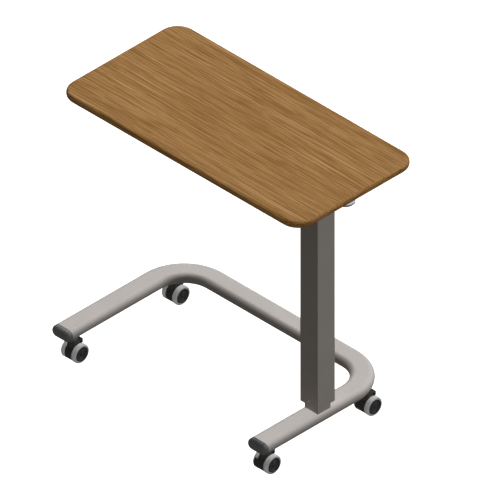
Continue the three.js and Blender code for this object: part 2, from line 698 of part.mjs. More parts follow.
const overbedTable = new THREE.Group();
overbedTable.add(assemble());
export default overbedTable;
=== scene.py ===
"""Overbed table: the detailed visual model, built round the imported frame. Metres, +Z up."""

import json
import math

import bmesh
import bpy
from mathutils import Matrix, Vector


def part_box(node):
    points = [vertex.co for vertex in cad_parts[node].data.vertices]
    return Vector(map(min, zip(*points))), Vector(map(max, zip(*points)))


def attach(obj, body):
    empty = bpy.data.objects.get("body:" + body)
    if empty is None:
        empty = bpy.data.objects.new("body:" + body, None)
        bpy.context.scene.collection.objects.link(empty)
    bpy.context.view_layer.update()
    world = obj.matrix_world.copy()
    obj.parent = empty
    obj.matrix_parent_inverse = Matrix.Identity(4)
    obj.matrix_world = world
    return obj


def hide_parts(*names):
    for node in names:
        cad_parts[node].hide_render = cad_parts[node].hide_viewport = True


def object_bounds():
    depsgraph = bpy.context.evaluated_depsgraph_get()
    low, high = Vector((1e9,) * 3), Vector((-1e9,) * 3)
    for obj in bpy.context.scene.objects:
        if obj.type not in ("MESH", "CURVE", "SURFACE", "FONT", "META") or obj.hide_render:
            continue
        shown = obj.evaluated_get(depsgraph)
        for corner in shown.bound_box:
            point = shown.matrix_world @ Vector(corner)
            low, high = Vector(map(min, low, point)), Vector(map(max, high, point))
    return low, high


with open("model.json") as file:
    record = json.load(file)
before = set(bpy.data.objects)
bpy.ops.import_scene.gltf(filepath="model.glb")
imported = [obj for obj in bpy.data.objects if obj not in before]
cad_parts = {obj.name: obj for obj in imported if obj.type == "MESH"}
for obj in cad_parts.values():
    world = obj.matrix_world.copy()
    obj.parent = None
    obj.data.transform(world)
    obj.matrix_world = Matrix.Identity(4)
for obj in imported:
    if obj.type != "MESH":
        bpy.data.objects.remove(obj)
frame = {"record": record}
CAD_LOW, CAD_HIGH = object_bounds()

# ---- the frame's own facts ----
NODE_BODY = {n: body for body, nodes in frame["record"]["behaviour"]["bodies"].items() for n in nodes}
NODE_SLOT = {part["node"]: part["material_slot"] for part in frame["record"]["subparts"]}


def middle(node):
    low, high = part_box(node)
    return (low + high) / 2


def size(node):
    low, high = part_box(node)
    return high - low


# ---- driving dimensions ----
MM = 0.001
TINY = 1e-7
MERGE = 1e-6                        # points nearer than this become one
GAP = 0.3 * MM                      # clearance between neighbouring solids
SHARP = math.radians(35)            # edges steeper than this stay crisp
ARC_STEPS = 6                       # facets on a rounded corner
ROUND = 64                          # facets on a round piece
WHEEL_ROUND = 96                    # facets on a wheel
HOLE_ROUND = 32                     # facets in a screw hole

TUBE_LOW, TUBE_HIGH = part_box("base_tube")
TUBE_HEIGHT = TUBE_HIGH.z - TUBE_LOW.z
TUBE_WIDTH = 2 * TUBE_HEIGHT        # flat-oval tube, twice as wide as high
TUBE_WALL = 2 * MM
TUBE_Z = (TUBE_LOW.z + TUBE_HIGH.z) / 2
BEND_RADIUS = 100 * MM
BEND_STEPS = 28
LEG_X = {"left": TUBE_LOW.x + TUBE_WIDTH / 2, "right": TUBE_HIGH.x - TUBE_WIDTH / 2}
CROSS_Y = TUBE_HIGH.y - TUBE_WIDTH / 2
LEG_END_Y = TUBE_LOW.y
CAP_EDGE = 9 * MM                   # rounding of an end cap's rim
CAP_STEPS = 10
PLUG_LENGTH = 26 * MM

AXIS = middle("column_sleeve")      # x and y of the column's axis
SLEEVE_WALL = 3 * MM
SCREW_HOLE = 2.6 * MM               # radius of the screw holes in the sleeve and the board
COLUMN_WALL = 2.5 * MM
LIP_HEIGHT = 3 * MM

STEM_RADIUS = 5.5 * MM
SOCKET_RADIUS = 14 * MM             # neck of an end cap, and rear castor's socket
SPIGOT_WALL = 3.5 * MM
FORK_HALF = 10.8 * MM               # half width of a castor's body
FORK_RADIUS = 24.4 * MM
BOSS_RADIUS = 9 * MM                # swivel boss round a castor's stem
GUARD_WALL = 1.2 * MM
GUARD_ARC = (148.5, 196)            # guard in front of an inner wheel, degrees round the axle
GUARD_STEPS = 20
FORK_EDGE = 1.2 * MM                # rounding of a castor body's rims
AXLE_RADIUS = 3 * MM
BARREL_RADIUS = 3 * MM              # brake pedal's hinge barrel
PEDAL_HALF = 7.5 * MM
PEDAL_WALL = 4 * MM

TOP_EDGE = 8 * MM                   # rounding of the board's edge
TOP_CORNER = 50 * MM                # plan radius of the board's corners
RAIL_WALL = 2 * MM
PIN_RADIUS = 2.5 * MM               # release lever's pivot pin

TAGS = [f"{side}_{end}" for side in ("left", "right") for end in ("front", "rear")]

# Axis changes for shapes that are drawn flat and then given a thickness.
ALONG_X = Matrix(((0, 0, 1, 0), (1, 0, 0, 0), (0, 1, 0, 0), (0, 0, 0, 1)))
ALONG_Y = Matrix(((1, 0, 0, 0), (0, 0, -1, 0), (0, 1, 0, 0), (0, 0, 0, 1)))


# ---- outlines ----
def arc(centre, radius, start, end, steps=ARC_STEPS):
    """Points on an arc, angles in degrees."""
    angles = [math.radians(start + (end - start) * step / steps) for step in range(steps + 1)]
    return [(centre[0] + radius * math.cos(a), centre[1] + radius * math.sin(a)) for a in angles]


def rounded_rect(width, height, radius, steps=ARC_STEPS):
    x = width / 2 - radius
    y = height / 2 - radius
    outline = []
    for turn, (side, end) in enumerate(((1, 1), (-1, 1), (-1, -1), (1, -1))):
        outline += arc((side * x, end * y), radius, 90 * turn, 90 * turn + 90, steps)
    return outline


def stadium(width, height, inset=0.0, steps=16):
    radius = height / 2 - inset
    reach = (width - height) / 2
    return arc((reach, 0), radius, -90, 90, steps) + arc((-reach, 0), radius, 90, 270, steps)


def circle(radius, steps=ROUND):
    return arc((0, 0), radius, 0, 360 * (steps - 1) / steps, steps - 1)


def round_corners(corners, steps=ARC_STEPS):
    """Outline of a polygon whose (x, y, radius) corners are rounded by that radius."""
    outline = []
    for index, (x, y, radius) in enumerate(corners):
        corner = Vector((x, y))
        before = (Vector(corners[index - 1][:2]) - corner).normalized()
        after = (Vector(corners[(index + 1) % len(corners)][:2]) - corner).normalized()
        half = before.angle(after) / 2
        if radius < TINY:
            outline.append((x, y))
            continue
        hub = corner + (before + after).normalized() * (radius / math.sin(half))
        first = corner + before * (radius / math.tan(half)) - hub
        last = corner + after * (radius / math.tan(half)) - hub
        turn = first.angle(last)
        for step in range(steps + 1):
            share = step / steps
            blend = first * math.sin((1 - share) * turn) + last * math.sin(share * turn)
            outline.append(tuple(hub + blend / math.sin(turn)))
    return outline


# ---- solids ----
def bridge(bm, first, second):
    """Faces between two rings of vertices; a ring of one vertex makes a fan."""
    count = max(len(first), len(second))
    for i in range(count):
        j = (i + 1) % count
        near = [first[i % len(first)], first[j % len(first)]]
        far = [second[j % len(second)], second[i % len(second)]]
        bm.faces.new(list(dict.fromkeys(near + far)))


def loft(rings, closed=False):
    """Skin over rings of points; closed joins the last ring to the first, open caps both ends."""
    bm = bmesh.new()
    made = [[bm.verts.new(point) for point in ring] for ring in rings]
    for first, second in zip(made, made[1:]):
        bridge(bm, first, second)
    if closed:
        bridge(bm, made[-1], made[0])
    else:
        for ring in (made[0], made[-1]):
            if len(ring) > 2:
                bm.faces.new(ring)
    bmesh.ops.recalc_face_normals(bm, faces=bm.faces)
    return bm


def lifted(outline, z):
    return [Vector((x, y, z)) for x, y in outline]


def prism(outline, low, high):
    return loft([lifted(outline, low), lifted(outline, high)])


def pipe(outer, inner, low, high):
    """Hollow prism between two outlines with as many points as each other."""
    rings = [lifted(outer, low), lifted(outer, high), lifted(inner, high), lifted(inner, low)]
    return loft(rings, closed=True)


def slab(outline, low, high, edge, steps=ARC_STEPS):
    """Prism with rounded rims. outline(inset) gives its outline at an inset."""
    rim = []
    for step in range(steps + 1):
        angle = math.pi / 2 * step / steps
        rim.append((edge * (1 - math.sin(angle)), edge * (1 - math.cos(angle))))
    levels = [(inset, low + lift) for inset, lift in rim]
    levels += [(inset, high - lift) for inset, lift in reversed(rim)]
    return loft([lifted(outline(inset), z) for inset, z in levels])


def turned(profile, closed=False, steps=ROUND):
    """Solid of a (radius, height) profile turned about Z."""
    rings = []
    for radius, height in profile:
        outline = circle(radius, steps) if radius > TINY else [(0, 0)]
        rings.append(lifted(outline, height))
    return loft(rings, closed)


def bar(radius, low, high, steps=ROUND):
    return prism(circle(radius, steps), low, high)


def box_solid(low, high):
    corners = [(low[0], low[1]), (high[0], low[1]), (high[0], high[1]), (low[0], high[1])]
    return prism(corners, low[2], high[2])


def moved(bm, offset, turn=Matrix()):
    bm.transform(Matrix.Translation(offset) @ turn)
    return bm


def helper_object(bm):
    mesh = bpy.data.meshes.new("helper")
    bm.to_mesh(mesh)
    bm.free()
    helper = bpy.data.objects.new("helper", mesh)
    bpy.context.scene.collection.objects.link(helper)
    return helper


def combine(body, operation, *tools):
    """body joined with the tools (UNION) or cut by them (DIFFERENCE)."""
    helpers = [helper_object(bm) for bm in (body, *tools)]
    for tool in helpers[1:]:
        modifier = helpers[0].modifiers.new("combine", "BOOLEAN")
        modifier.operation = operation
        modifier.solver = "EXACT"
        modifier.object = tool
    result = bmesh.new()
    result.from_object(helpers[0], bpy.context.evaluated_depsgraph_get())
    for helper in helpers:
        bpy.data.meshes.remove(helper.data)
    bmesh.ops.remove_doubles(result, verts=result.verts, dist=MERGE)
    bmesh.ops.dissolve_degenerate(result, dist=MERGE, edges=result.edges)
    return result


def soften(bm, width, steps=2):
    """Rounds every crisp edge by a small width."""
    edges = [e for e in bm.edges if e.is_manifold and e.calc_face_angle(0) > SHARP]
    shape = {"offset": width, "segments": steps, "profile": 0.5, "clamp_overlap": True}
    bmesh.ops.bevel(bm, geom=edges, affect="EDGES", **shape)
    return bm


# ---- colours, as linear values ----
OAK_LIGHT = (0.376, 0.201, 0.069)
OAK_DARK = (0.212, 0.099, 0.018)
OAK_STREAK = (0.14, 0.058, 0.008)
OAK_RAY = (0.50, 0.30, 0.12)
OAK_PORE = (0.10, 0.045, 0.014)
PAINT_GREY = (0.422, 0.396, 0.375)
FRAME_GREY = (0.30, 0.285, 0.275)
CAP_GREY = (0.118, 0.118, 0.118)
PLASTIC_BLACK = (0.033, 0.033, 0.033)
TREAD_GREY = (0.45, 0.45, 0.45)
LEVER_GREY = (0.50, 0.51, 0.55)
STEEL_GREY = (0.60, 0.61, 0.63)


# ---- procedural materials ----
def add(tree, kind, links=(), **values):
    """A node with its inputs set by name; links pairs an input's name with an output."""
    node = tree.nodes.new(kind)
    for name, value in values.items():
        node.inputs[name].default_value = value
    for name, output in dict(links).items():
        tree.links.new(output, node.inputs[name])
    return node


def place(tree, stretch):
    """The piece's own coordinates, in metres, multiplied along each axis."""
    where = tree.nodes.new("ShaderNodeTexCoord").outputs["Object"]
    return add(tree, "ShaderNodeMapping", {"Vector": where}, Scale=stretch).outputs["Vector"]


def noise(tree, stretch, detail=2.0, roughness=0.5, distortion=0.0):
    """Noise between 0 and 1 whose cells are about 1/stretch metres along each axis."""
    links = {"Vector": place(tree, stretch)}
    values = {"Scale": 1.0, "Detail": detail, "Roughness": roughness, "Distortion": distortion}
    return add(tree, "ShaderNodeTexNoise", links, **values).outputs["Fac"]


def between(tree, value, low, high, out_low=0.0, out_high=1.0):
    """value carried from low..high to out_low..out_high, and held at the ends."""
    limits = {"From Min": low, "From Max": high, "To Min": out_low, "To Max": out_high}
    return add(tree, "ShaderNodeMapRange", {"Value": value}, **limits).outputs["Result"]


def calculate(tree, operation, first, second):
    node = tree.nodes.new("ShaderNodeMath")
    node.operation = operation
    for socket, source in zip(node.inputs, (first, second)):
        if isinstance(source, float):
            socket.default_value = source
        else:
            tree.links.new(source, socket)
    return node.outputs["Value"]


def mix_colours(tree, factor, first, second):
    node = tree.nodes.new("ShaderNodeMix")
    node.data_type = "RGBA"
    tree.links.new(factor, node.inputs[0])
    for socket, source in ((node.inputs[6], first), (node.inputs[7], second)):
        if isinstance(source, tuple):
            socket.default_value = (*source, 1)
        else:
            tree.links.new(source, socket)
    return node.outputs[2]


def new_look(name, metallic=0.0, specular=0.5):
    look = bpy.data.materials.new(name)
    look.use_nodes = True
    shader = look.node_tree.nodes["Principled BSDF"]
    shader.inputs["Metallic"].default_value = metallic
    shader.inputs["Specular IOR Level"].default_value = specular
    return look


def dress(look, colour, roughness, height, depth):
    """Links a colour, a roughness and a bump whose full height is depth metres."""
    tree = look.node_tree
    shader = tree.nodes["Principled BSDF"]
    bump = add(tree, "ShaderNodeBump", {"Height": height}, Strength=1.0, Distance=depth)
    tree.links.new(colour, shader.inputs["Base Color"])
    tree.links.new(roughness, shader.inputs["Roughness"])
    tree.links.new(bump.outputs["Normal"], shader.inputs["Normal"])
    return look


def shade(colour, factor):
    return tuple(channel * factor for channel in colour)


def oak():
    """Straight-grained oak along X: bands, lines, fibres, dark streaks, pale rays and short pores."""
    look = new_look("oak_veneer", specular=0.15)
    tree = look.node_tree
    bands = noise(tree, (0.8, 20, 20), detail=2.0, roughness=0.5, distortion=0.15)
    lines = noise(tree, (5, 320, 320), detail=2.0, roughness=0.65)
    fibres = noise(tree, (9, 440, 440), detail=2.0, roughness=0.55)
    streaks = between(tree, noise(tree, (10, 330, 330), detail=1.0), 0.57, 0.61)
    rays = between(tree, noise(tree, (2.2, 340, 340), detail=1.0), 0.66, 0.69)
    pores = between(tree, noise(tree, (38, 950, 950), detail=2.0, roughness=0.6), 0.60, 0.70)
    broad = between(tree, bands, 0.3, 0.7, 0.0, 0.12)
    narrow = between(tree, lines, 0.43, 0.57, 0.0, 0.30)
    fine = between(tree, fibres, 0.42, 0.58, 0.0, 0.52)
    tone = calculate(tree, "ADD", calculate(tree, "ADD", broad, narrow), fine)
    colour = mix_colours(tree, tone, OAK_DARK, OAK_LIGHT)
    colour = mix_colours(tree, calculate(tree, "MULTIPLY", streaks, 0.55), colour, OAK_STREAK)
    colour = mix_colours(tree, calculate(tree, "MULTIPLY", rays, 0.8), colour, OAK_RAY)
    colour = mix_colours(tree, calculate(tree, "MULTIPLY", pores, 0.5), colour, OAK_PORE)
    roughness = between(tree, fibres, 0.3, 0.7, 0.72, 0.62)
    height = calculate(tree, "SUBTRACT", fibres, pores)
    return dress(look, colour, roughness, height, 0.06 * MM)


def powder_coat(name, colour, peel=0.05, roughness=0.6):
    """Sprayed paint: faint mottling, orange peel, and rubbed patches that are glossier."""
    look = new_look(name)
    tree = look.node_tree
    cloud = noise(tree, (9, 9, 9), detail=4.0)
    speckle = noise(tree, (1400, 1400, 1400), detail=2.0)
    mottle = between(tree, cloud, 0.3, 0.7, 0.0, 0.6)
    tone = calculate(tree, "ADD", mottle, between(tree, speckle, 0.3, 0.7, 0.0, 0.4))
    paint = mix_colours(tree, tone, shade(colour, 0.94), shade(colour, 1.05))
    rubbed = between(tree, noise(tree, (30, 30, 30), detail=6.0, roughness=0.7), 0.6, 0.75)
    gloss = between(tree, rubbed, 0.0, 1.0, roughness, roughness - 0.09)
    peeling = noise(tree, (420, 420, 420), detail=2.0)
    return dress(look, paint, gloss, peeling, peel * MM)


def moulded(name, colour, grain=900, depth=0.05, roughness=0.5, specular=0.5):
    """Injection-moulded plastic with a fine spark-eroded grain and slightly worn, paler spots."""
    look = new_look(name, specular=specular)
    tree = look.node_tree
    erosion = noise(tree, (grain,) * 3, detail=3.0, roughness=0.65)
    wear = between(tree, noise(tree, (55, 55, 55), detail=5.0, roughness=0.7), 0.52, 0.75)
    plastic = mix_colours(tree, wear, shade(colour, 0.96), shade(colour, 1.12))
    gloss = between(tree, erosion, 0.3, 0.7, roughness + 0.07, roughness - 0.07)
    return dress(look, plastic, gloss, erosion, depth * MM)


def tread_rubber():
    """Non-marking grey rubber, dusty in patches, with a fine matt grain."""
    look = new_look("tread_rubber_grey", specular=0.3)
    tree = look.node_tree
    dust = between(tree, noise(tree, (90, 90, 90), detail=6.0, roughness=0.7), 0.35, 0.7)
    grain = noise(tree, (1100, 1100, 1100), detail=3.0)
    rubber = mix_colours(tree, dust, shade(TREAD_GREY, 0.82), shade(TREAD_GREY, 1.12))
    speckle = between(tree, grain, 0.5, 0.75, 0.0, 0.35)
    rubber = mix_colours(tree, speckle, rubber, shade(TREAD_GREY, 0.6))
    return dress(look, rubber, between(tree, grain, 0.3, 0.7, 0.62, 0.78), grain, 0.08 * MM)


def bright_steel():
    """Turned, zinc-plated steel: fine rings round the axis of a piece that stands upright."""
    look = new_look("bright_steel", metallic=1.0)
    tree = look.node_tree
    rings = noise(tree, (150, 150, 3200), detail=3.0)
    cloud = between(tree, noise(tree, (60, 60, 60), detail=4.0), 0.3, 0.7)
    metal = mix_colours(tree, cloud, shade(STEEL_GREY, 0.86), shade(STEEL_GREY, 1.06))
    return dress(look, metal, between(tree, rings, 0.3, 0.7, 0.24, 0.4), rings, 0.02 * MM)


LOOKS = {
    "oak_top": oak(),
    "base_paint": powder_coat("base_powder_coat", PAINT_GREY),
    "column_paint": powder_coat("column_powder_coat", PAINT_GREY, peel=0.04),
    "frame_paint": powder_coat("frame_powder_coat", FRAME_GREY, peel=0.1),
    "cap_plastic": moulded("cap_plastic_grey", CAP_GREY, depth=0.03, roughness=0.55, specular=0.4),
    "black_plastic": moulded("castor_plastic_black", PLASTIC_BLACK, specular=0.4),
    "tread_rubber": tread_rubber(),
    "lever_plastic": moulded("lever_plastic_grey", LEVER_GREY, grain=1500, depth=0.02, roughness=0.35),
    "steel": bright_steel(),
}


def piece(node, bm):
    """Makes the visible piece that stands for a CAD node, on its body and in its finish."""
    bmesh.ops.recalc_face_normals(bm, faces=bm.faces)
    mesh = bpy.data.meshes.new(f"{node}_visual")
    bm.to_mesh(mesh)
    bm.free()
    mesh.shade_smooth()
    mesh.set_sharp_from_angle(angle=SHARP)
    mesh.materials.append(LOOKS[NODE_SLOT[node]])
    made = bpy.data.objects.new(f"{node}_visual", mesh)
    bpy.context.scene.collection.objects.link(made)
    weighted = made.modifiers.new("weighted_normals", "WEIGHTED_NORMAL")
    weighted.keep_sharp = True
    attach(made, NODE_BODY[node])
    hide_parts(node)


# ---- base ----
def base_stations():
    """Plan position and heading along the tube's centre line, left leg to right leg."""
    stations = [(LEG_X["left"], LEG_END_Y, 90)]
    for hub_x, start in ((LEG_X["left"] + BEND_RADIUS, 180), (LEG_X["right"] - BEND_RADIUS, 90)):
        for step in range(BEND_STEPS + 1):
            angle = start - 90 * step / BEND_STEPS
            x = hub_x + BEND_RADIUS * math.cos(math.radians(angle))
            y = CROSS_Y - BEND_RADIUS + BEND_RADIUS * math.sin(math.radians(angle))
            stations.append((x, y, angle - 90))
    stations.append((LEG_X["right"], LEG_END_Y, -90))
    return stations


def section_at(station, inset):
    x, y, heading = station
    side = Vector((-math.sin(math.radians(heading)), math.cos(math.radians(heading)), 0))
    outline = stadium(TUBE_WIDTH, TUBE_HEIGHT, inset)
    return [Vector((x, y, TUBE_Z + up)) + side * across for across, up in outline]


def base_tube():
    """Bent flat-oval tube, cut out underneath for the castors' sockets and the caps' necks."""
    stations = base_stations()
    skin = [section_at(station, 0) for station in stations]
    bore = [section_at(station, TUBE_WALL) for station in reversed(stations)]
    cutters = []
    play = 0.5 * MM
    slot_top = TUBE_Z - 8 * MM
    for tag in TAGS:
        stem = middle(f"castor_stem_{tag}")
        radius = (SOCKET_RADIUS if tag.endswith("front") else STEM_RADIUS + SPIGOT_WALL) + play
        cutters.append(moved(bar(radius, TUBE_LOW.z - MM, TUBE_Z), (stem.x, stem.y, 0)))
        if tag.endswith("front"):
            low = (stem.x - radius, LEG_END_Y - MM, TUBE_LOW.z - MM)
            cutters.append(box_solid(low, (stem.x + radius, stem.y, slot_top)))
    piece("base_tube", combine(loft(skin + bore, closed=True), "DIFFERENCE", *cutters))


def cap_dome(leg_x, back, front):
    """Flat-oval end with a generously rounded rim, from the tube's cut end forward."""
    levels = [(0, back)]
    for step in range(CAP_STEPS + 1):
        angle = math.pi / 2 * step / CAP_STEPS
        levels.append((CAP_EDGE * (1 - math.cos(angle)), front + CAP_EDGE * (1 - math.sin(angle))))
    rings = []
    for inset, y in levels:
        outline = stadium(TUBE_WIDTH, TUBE_HEIGHT, inset)
        rings.append([Vector((leg_x + x, y, TUBE_Z + z)) for x, z in outline])
    return loft(rings)


def end_cap(side):
    """Domed cap plugged into the tube, with a flared neck under it for the front castor's stem."""
    node = f"end_cap_{side}"
    low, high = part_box(node)
    stem = middle(f"castor_stem_{side}_front")
    leg_x = LEG_X[side]
    dome = cap_dome(leg_x, LEG_END_Y - GAP, low.y)
    plug = prism(stadium(TUBE_WIDTH, TUBE_HEIGHT, TUBE_WALL + GAP), -PLUG_LENGTH, MM)
    moved(plug, (leg_x, LEG_END_Y - GAP, TUBE_Z), ALONG_Y)
    flare = TUBE_LOW.z - GAP
    chamfer, spread = 0.6 * MM, 4.5 * MM
    neck = [(0, low.z), (SOCKET_RADIUS - chamfer, low.z), (SOCKET_RADIUS, low.z + chamfer)]
    foot = low.z + 3 * MM
    for share in (0, 0.25, 0.5, 0.75, 1):
        neck.append((SOCKET_RADIUS + spread * share ** 2, foot + (flare - foot) * share))
    neck += [(SOCKET_RADIUS, flare), (SOCKET_RADIUS, TUBE_Z), (0, TUBE_Z)]
    boss = moved(turned(neck), (stem.x, stem.y, 0))
    bore = moved(bar(STEM_RADIUS + GAP, low.z - MM, high.z + MM), (stem.x, stem.y, 0))
    whole = combine(dome, "UNION", plug, boss)
    piece(node, combine(whole, "DIFFERENCE", bore))


def rear_socket(side):
    """Bush for a rear castor's stem, with a spigot up into the tube."""
    node = f"rear_socket_{side}"
    low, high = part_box(node)
    bore = STEM_RADIUS + GAP
    spigot = STEM_RADIUS + SPIGOT_WALL
    profile = [
        (bore, low.z), (SOCKET_RADIUS - MM, low.z), (SOCKET_RADIUS, low.z + MM),
        (SOCKET_RADIUS, TUBE_LOW.z - GAP - 0.5 * MM), (SOCKET_RADIUS - 0.5 * MM, TUBE_LOW.z - GAP),
        (spigot, TUBE_LOW.z - GAP), (spigot, high.z - MM), (spigot - MM, high.z), (bore, high.z),
    ]
    spot = middle(node)
    piece(node, moved(turned(profile, closed=True), (spot.x, spot.y, 0)))


def inner_column():
    """Square tube whose foot is coped to sit over the base tube."""
    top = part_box("inner_column")[1].z
    side = size("inner_column").x
    outer = rounded_rect(side, side, 1.5 * MM)
    inner = rounded_rect(side - 2 * COLUMN_WALL, side - 2 * COLUMN_WALL, 0.8 * MM)
    flat = (TUBE_WIDTH - TUBE_HEIGHT) / 2
    radius = TUBE_HEIGHT / 2 + GAP

    def foot(x, y):
        beyond = max(abs(x) - flat, 0)
        return Vector((x, y, TUBE_Z + math.sqrt(radius ** 2 - beyond ** 2)))

    rings = [[foot(x, y) for x, y in outer], lifted(outer, top), lifted(inner, top)]
    rings.append([foot(x, y) for x, y in inner])
    piece("inner_column", moved(loft(rings, closed=True), (AXIS.x, AXIS.y, 0)))


def square_glide(node, lip=0.0):
    """Plastic collar between the two columns, with a lip over the inner one's end if lip isn't 0."""
    low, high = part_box(node)
    side = size(node).x
    bore = size("inner_column").x + 2 * GAP
    outer = rounded_rect(side, side, 1.5 * MM)
    inner = rounded_rect(bore, bore, 1.5 * MM)
    rings = [lifted(outer, low.z), lifted(outer, high.z)]
    if lip:
        narrow = bore - 2 * GAP - 2 * COLUMN_WALL
        mouth = rounded_rect(narrow, narrow, MM)
        rings += [lifted(mouth, high.z), lifted(mouth, high.z - lip), lifted(inner, high.z - lip)]
    else:
        rings.append(lifted(inner, high.z))
    rings.append(lifted(inner, low.z))
    piece(node, moved(soften(loft(rings, closed=True), 0.4 * MM), (AXIS.x, AXIS.y, 0)))


def gas_spring():
    """Seat post, cylinder, rod with its piston, and the release pin in the rod's end."""
    low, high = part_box("gas_spring_post")
    wide, narrow = 12 * MM, 7 * MM
    profile = [(narrow, low.z), (wide - MM, low.z), (wide, low.z + MM), (wide, high.z - MM)]
    profile += [(wide - MM, high.z), (narrow, high.z)]
    piece("gas_spring_post", moved(turned(profile, closed=True), (AXIS.x, AXIS.y, 0)))
    low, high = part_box("gas_spring_cylinder")
    wide, throat, bore = 14 * MM, 5.3 * MM, 11.5 * MM
    floor, ceiling = low.z + 8 * MM, high.z - 10 * MM
    profile = [
        (0, low.z), (wide - 2 * MM, low.z), (wide, low.z + 2 * MM), (wide, high.z - 3 * MM),
        (wide - 3 * MM, high.z), (throat, high.z), (throat, ceiling), (bore, ceiling),
        (bore, floor), (0, floor),
    ]
    piece("gas_spring_cylinder", moved(turned(profile), (AXIS.x, AXIS.y, 0)))
    low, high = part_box("gas_spring_rod")
    piston, rod, bore = 11.2 * MM, 5 * MM, 3.3 * MM
    crown, depth, chamfer = low.z + 14 * MM, high.z - 20 * MM, 0.6 * MM
    profile = [
        (0, low.z), (piston - MM, low.z), (piston, low.z + MM), (piston, crown - MM),
        (piston - MM, crown), (rod, crown), (rod, high.z - chamfer), (rod - chamfer, high.z),
        (bore, high.z), (bore, depth), (0, depth),
    ]
    piece("gas_spring_rod", moved(turned(profile), (AXIS.x, AXIS.y, 0)))
    low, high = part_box("release_pin")
    radius = 3 * MM
    profile = [
        (0, low.z), (radius, low.z), (radius, high.z - MM),
        (radius - 0.4 * MM, high.z - 0.3 * MM), (radius - MM, high.z), (0, high.z),
    ]
    piece("release_pin", moved(turned(profile), (AXIS.x, AXIS.y, 0)))


# ---- lifting part ----
def column_sleeve():
    """Square outer tube of the column, with a hole for the glide's screw."""
    low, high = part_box("column_sleeve")
    side = size("column_sleeve").x
    inside = side - 2 * SLEEVE_WALL
    tube = pipe(rounded_rect(side, side, MM), rounded_rect(inside, inside, 0.5 * MM), low.z, high.z)
    screw = middle("glide_screw")
    hole = bar(SCREW_HOLE, -5 * MM, 5 * MM)
    moved(hole, (0, -side / 2 + SLEEVE_WALL / 2, screw.z), ALONG_Y)
    piece("column_sleeve", moved(combine(tube, "DIFFERENCE", hole), (AXIS.x, AXIS.y, 0)))


def hex_socket(across, low, high):
    radius = across / math.sqrt(3)
    return prism(circle(radius, 6), low, high)


def glide_screw():
    """Domed socket-head screw through the sleeve's front wall."""
    low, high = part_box("glide_screw")
    head, shank = size("glide_screw").x / 2, 2.2 * MM
    seat = high.y - SLEEVE_WALL
    rise = seat - low.y
    crown = [(head * math.cos(a), rise * math.sin(a)) for a in (1.35, 1.1, 0.8, 0.5, 0.25, 0)]
    profile = [(0, rise)] + crown + [(shank, 0), (shank, -SLEEVE_WALL), (0, -SLEEVE_WALL)]
    screw = combine(turned(profile), "DIFFERENCE", hex_socket(2.5 * MM, 0.7 * MM, 3 * MM))
    spot = middle("glide_screw")
    piece("glide_screw", moved(screw, (spot.x, seat, spot.z), ALONG_Y))


def head_plate():
    """Plate that closes the sleeve, with a hole for the gas spring's rod."""
    low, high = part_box("head_plate")
    spot, extent = middle("head_plate"), size("head_plate")

    def outline(inset):
        return rounded_rect(extent.x - 2 * inset, extent.y - 2 * inset, 6 * MM - inset)

    plate = moved(slab(outline, low.z, high.z, 0.6 * MM, 3), (spot.x, spot.y, 0))
    hole = moved(bar(5.3 * MM, low.z - MM, high.z + MM), (AXIS.x, AXIS.y, 0))
    piece("head_plate", combine(plate, "DIFFERENCE", hole))


def support_rail(end):
    """Rectangular tube under the board, drilled for its two screws."""
    node = f"support_rail_{end}"
    spot, extent = middle(node), size(node)
    outer = rounded_rect(extent.y, extent.z, 2.5 * MM)
    inner = rounded_rect(extent.y - 2 * RAIL_WALL, extent.z - 2 * RAIL_WALL, MM)
    rail = moved(pipe(outer, inner, -extent.x / 2, extent.x / 2), spot, ALONG_X)
    holes = []
    for number in (1, 2):
        screw = middle(f"top_screw_{end}_{number}")
        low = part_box(node)[0].z - MM
        hole = bar(2.8 * MM, low, low + extent.z + 2 * MM, HOLE_ROUND)
        holes.append(moved(hole, (screw.x, screw.y, 0)))
    piece(node, combine(rail, "DIFFERENCE", *holes))


def cross_brace():
    """Rectangular tube between the two rails."""
    spot, extent = middle("cross_brace"), size("cross_brace")
    outer = rounded_rect(extent.x, extent.z, 2.5 * MM)
    inner = rounded_rect(extent.x - 2 * RAIL_WALL, extent.z - 2 * RAIL_WALL, MM)
    piece("cross_brace", moved(pipe(outer, inner, -extent.y / 2, extent.y / 2), spot, ALONG_Y))


def top_screw(node):
    """Pan-head screw, head down, with a cross recess."""
    low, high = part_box(node)
    spot = middle(node)
    head, shank = size(node).x / 2, 2.3 * MM
    height = 3 * MM
    profile = [(0, low.z), (head - 1.9 * MM, low.z), (head - 0.8 * MM, low.z + 0.35 * MM)]
    profile += [(head, low.z + 1.6 * MM), (head, low.z + height), (shank, low.z + height)]
    profile += [(shank, high.z - 3 * MM), (0.4 * MM, high.z), (0, high.z)]
    reach, half_slot, depth = 2.3 * MM, 0.5 * MM, 1.4 * MM
    arms = []
    for turn in (0, 90):
        arm = box_solid((-reach, -half_slot, low.z - MM), (reach, half_slot, low.z + depth))
        arms.append(moved(arm, (0, 0, 0), Matrix.Rotation(math.radians(turn), 4, "Z")))
    screw = combine(turned(profile, steps=48), "DIFFERENCE", *arms)
    piece(node, moved(screw, (spot.x, spot.y, 0)))


def tabletop():
    """Long board with fully rounded edges, drilled underneath for its screws."""
    low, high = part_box("tabletop")
    spot, extent = middle("tabletop"), size("tabletop")

    def outline(inset):
        return rounded_rect(extent.x - 2 * inset, extent.y - 2 * inset, TOP_CORNER - inset, 20)

    board = moved(slab(outline, low.z, high.z, TOP_EDGE, 10), (spot.x, spot.y, 0))
    holes = []
    for end in ("front", "rear"):
        for number in (1, 2):
            screw = middle(f"top_screw_{end}_{number}")
            hole = bar(SCREW_HOLE, low.z - MM, low.z + 12 * MM, HOLE_ROUND)
            holes.append(moved(hole, (screw.x, screw.y, 0)))
    piece("tabletop", combine(board, "DIFFERENCE", *holes))


